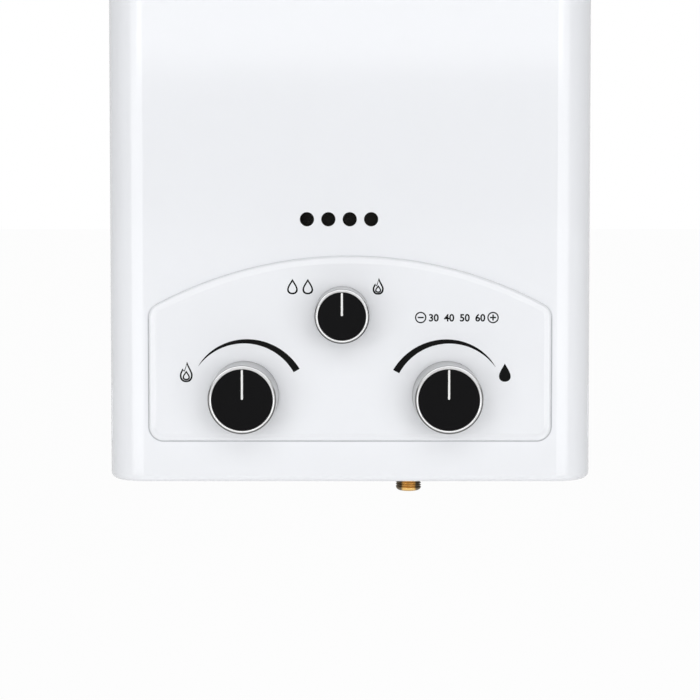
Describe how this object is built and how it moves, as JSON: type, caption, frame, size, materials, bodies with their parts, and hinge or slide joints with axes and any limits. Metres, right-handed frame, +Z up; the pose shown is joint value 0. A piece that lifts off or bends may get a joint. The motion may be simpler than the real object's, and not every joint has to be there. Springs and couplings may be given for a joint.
{
  "type": "portable propane water heater",
  "caption": "Wall-hung tankless gas water heater: white steel case with arched control panel, three knobs, rain cap, folding bail, burner, finned exchanger and valves inside.",
  "frame": {"origin": "midpoint between the two hanging holes, on the wall plane", "axes": "+X to the right of someone facing the knobs, +Y from the knobs into the wall, +Z up"},
  "size_m": [0.29, 0.148, 0.4056],
  "materials": {
    "cover": "gloss",
    "galvanised": "satin",
    "stainless": "brushed",
    "plated": "satin",
    "black_plastic": "gloss",
    "dark_plastic": "matte",
    "brass": "machined",
    "zinc_cast": "cast",
    "copper": "drawn",
    "rubber": "matte",
    "ceramic": "matte",
    "spring_steel": "bright",
    "mica": "clear",
    "cell": "gloss",
    "wire_red": "matte",
    "white_plastic": "matte"
  },
  "bodies": {
    "case": {"front_cover": "cover", "back_plate": "galvanised", "bottom_plate": "galvanised", "case_screws": "stainless", "gas_valve_body": "zinc_cast", "water_valve_body": "brass", "diaphragm_cover": "brass", "diaphragm": "rubber", "diaphragm_screws": "stainless", "solenoid": "spring_steel", "solenoid_core": "spring_steel", "gas_spring": "spring_steel", "valve_bracket": "galvanised", "micro_switch": "dark_plastic", "gas_inlet_fitting": "brass", "gas_inlet_pipe": "copper", "manifold_feed_pipe": "zinc_cast", "gas_manifold": "zinc_cast", "gas_nozzles": "brass", "burner_blades": "stainless", "burner_frame": "galvanised", "exchanger_shell": "copper", "exchanger_serpentine": "copper", "exchanger_fins": "copper", "exchanger_coil": "copper", "hot_outlet_pipe": "copper", "cold_inlet_pipe": "copper", "flue_hood": "galvanised", "rain_cap": "stainless", "sight_pane": "mica", "sight_sleeve": "dark_plastic", "overheat_switch": "dark_plastic", "water_fittings": "brass", "inlet_filter": "stainless", "drain_plug": "black_plastic", "battery_box": "white_plastic", "batteries": "cell", "battery_contacts": "brass", "door_hinge_pin": "stainless", "igniter_box": "dark_plastic", "electrodes": "ceramic", "electrode_pins": "stainless", "wiring": "wire_red", "bail_ears": "stainless"},
    "flame_control": {"flame_knob": "plated", "flame_knob_cap": "black_plastic", "flame_stem": "brass"},
    "temperature_control": {"temperature_knob": "plated", "temperature_knob_cap": "black_plastic", "temperature_stem": "brass"},
    "season_control": {"season_knob": "plated", "season_knob_cap": "black_plastic", "season_stem": "brass"},
    "water_linkage": {"push_rod": "stainless", "gas_disc": "rubber"},
    "lever": {"switch_lever": "stainless"},
    "bail": {"bail_wire": "stainless", "bail_grip": "rubber"},
    "door": {"battery_door": "dark_plastic"}
  },
  "joints": [
    {"name": "flame_knob_turn", "type": "hinge", "parent": "case", "child": "flame_control", "pos_m": [-0.0627, -0.124, -0.3268], "axis": [0, 1, 0], "range_deg": [-60, 60]},
    {"name": "temperature_knob_turn", "type": "hinge", "parent": "case", "child": "temperature_control", "pos_m": [0.0575, -0.124, -0.3268], "axis": [0, 1, 0], "range_deg": [-60, 60]},
    {"name": "season_knob_turn", "type": "hinge", "parent": "case", "child": "season_control", "pos_m": [-0.0047, -0.124, -0.2782], "axis": [0, 1, 0], "range_deg": [-50, 50]},
    {"name": "push_rod_slide", "type": "slide", "parent": "case", "child": "water_linkage", "axis": [-1, 0, 0], "range_m": [0, 0.004], "stiffness_N_per_m": 250, "deforming": ["gas_spring"]},
    {"name": "switch_lever_turn", "type": "hinge", "parent": "case", "child": "lever", "pos_m": [-0.0222, -0.082, -0.297], "axis": [0, 1, 0], "range_deg": [0, 10.1]},
    {"name": "bail_swing", "type": "hinge", "parent": "case", "child": "bail", "pos_m": [0, -0.014, 0.0013], "axis": [-1, 0, 0], "range_deg": [0, 90]},
    {"name": "battery_door_swing", "type": "hinge", "parent": "case", "child": "door", "pos_m": [-0.092, -0.0513, -0.3803], "axis": [-1, 0, 0], "range_deg": [0, 100]}
  ],
  "couplings": [
    {"joint": "switch_lever_turn", "follows": "push_rod_slide", "rad_per_m": 42.017}
  ]
}
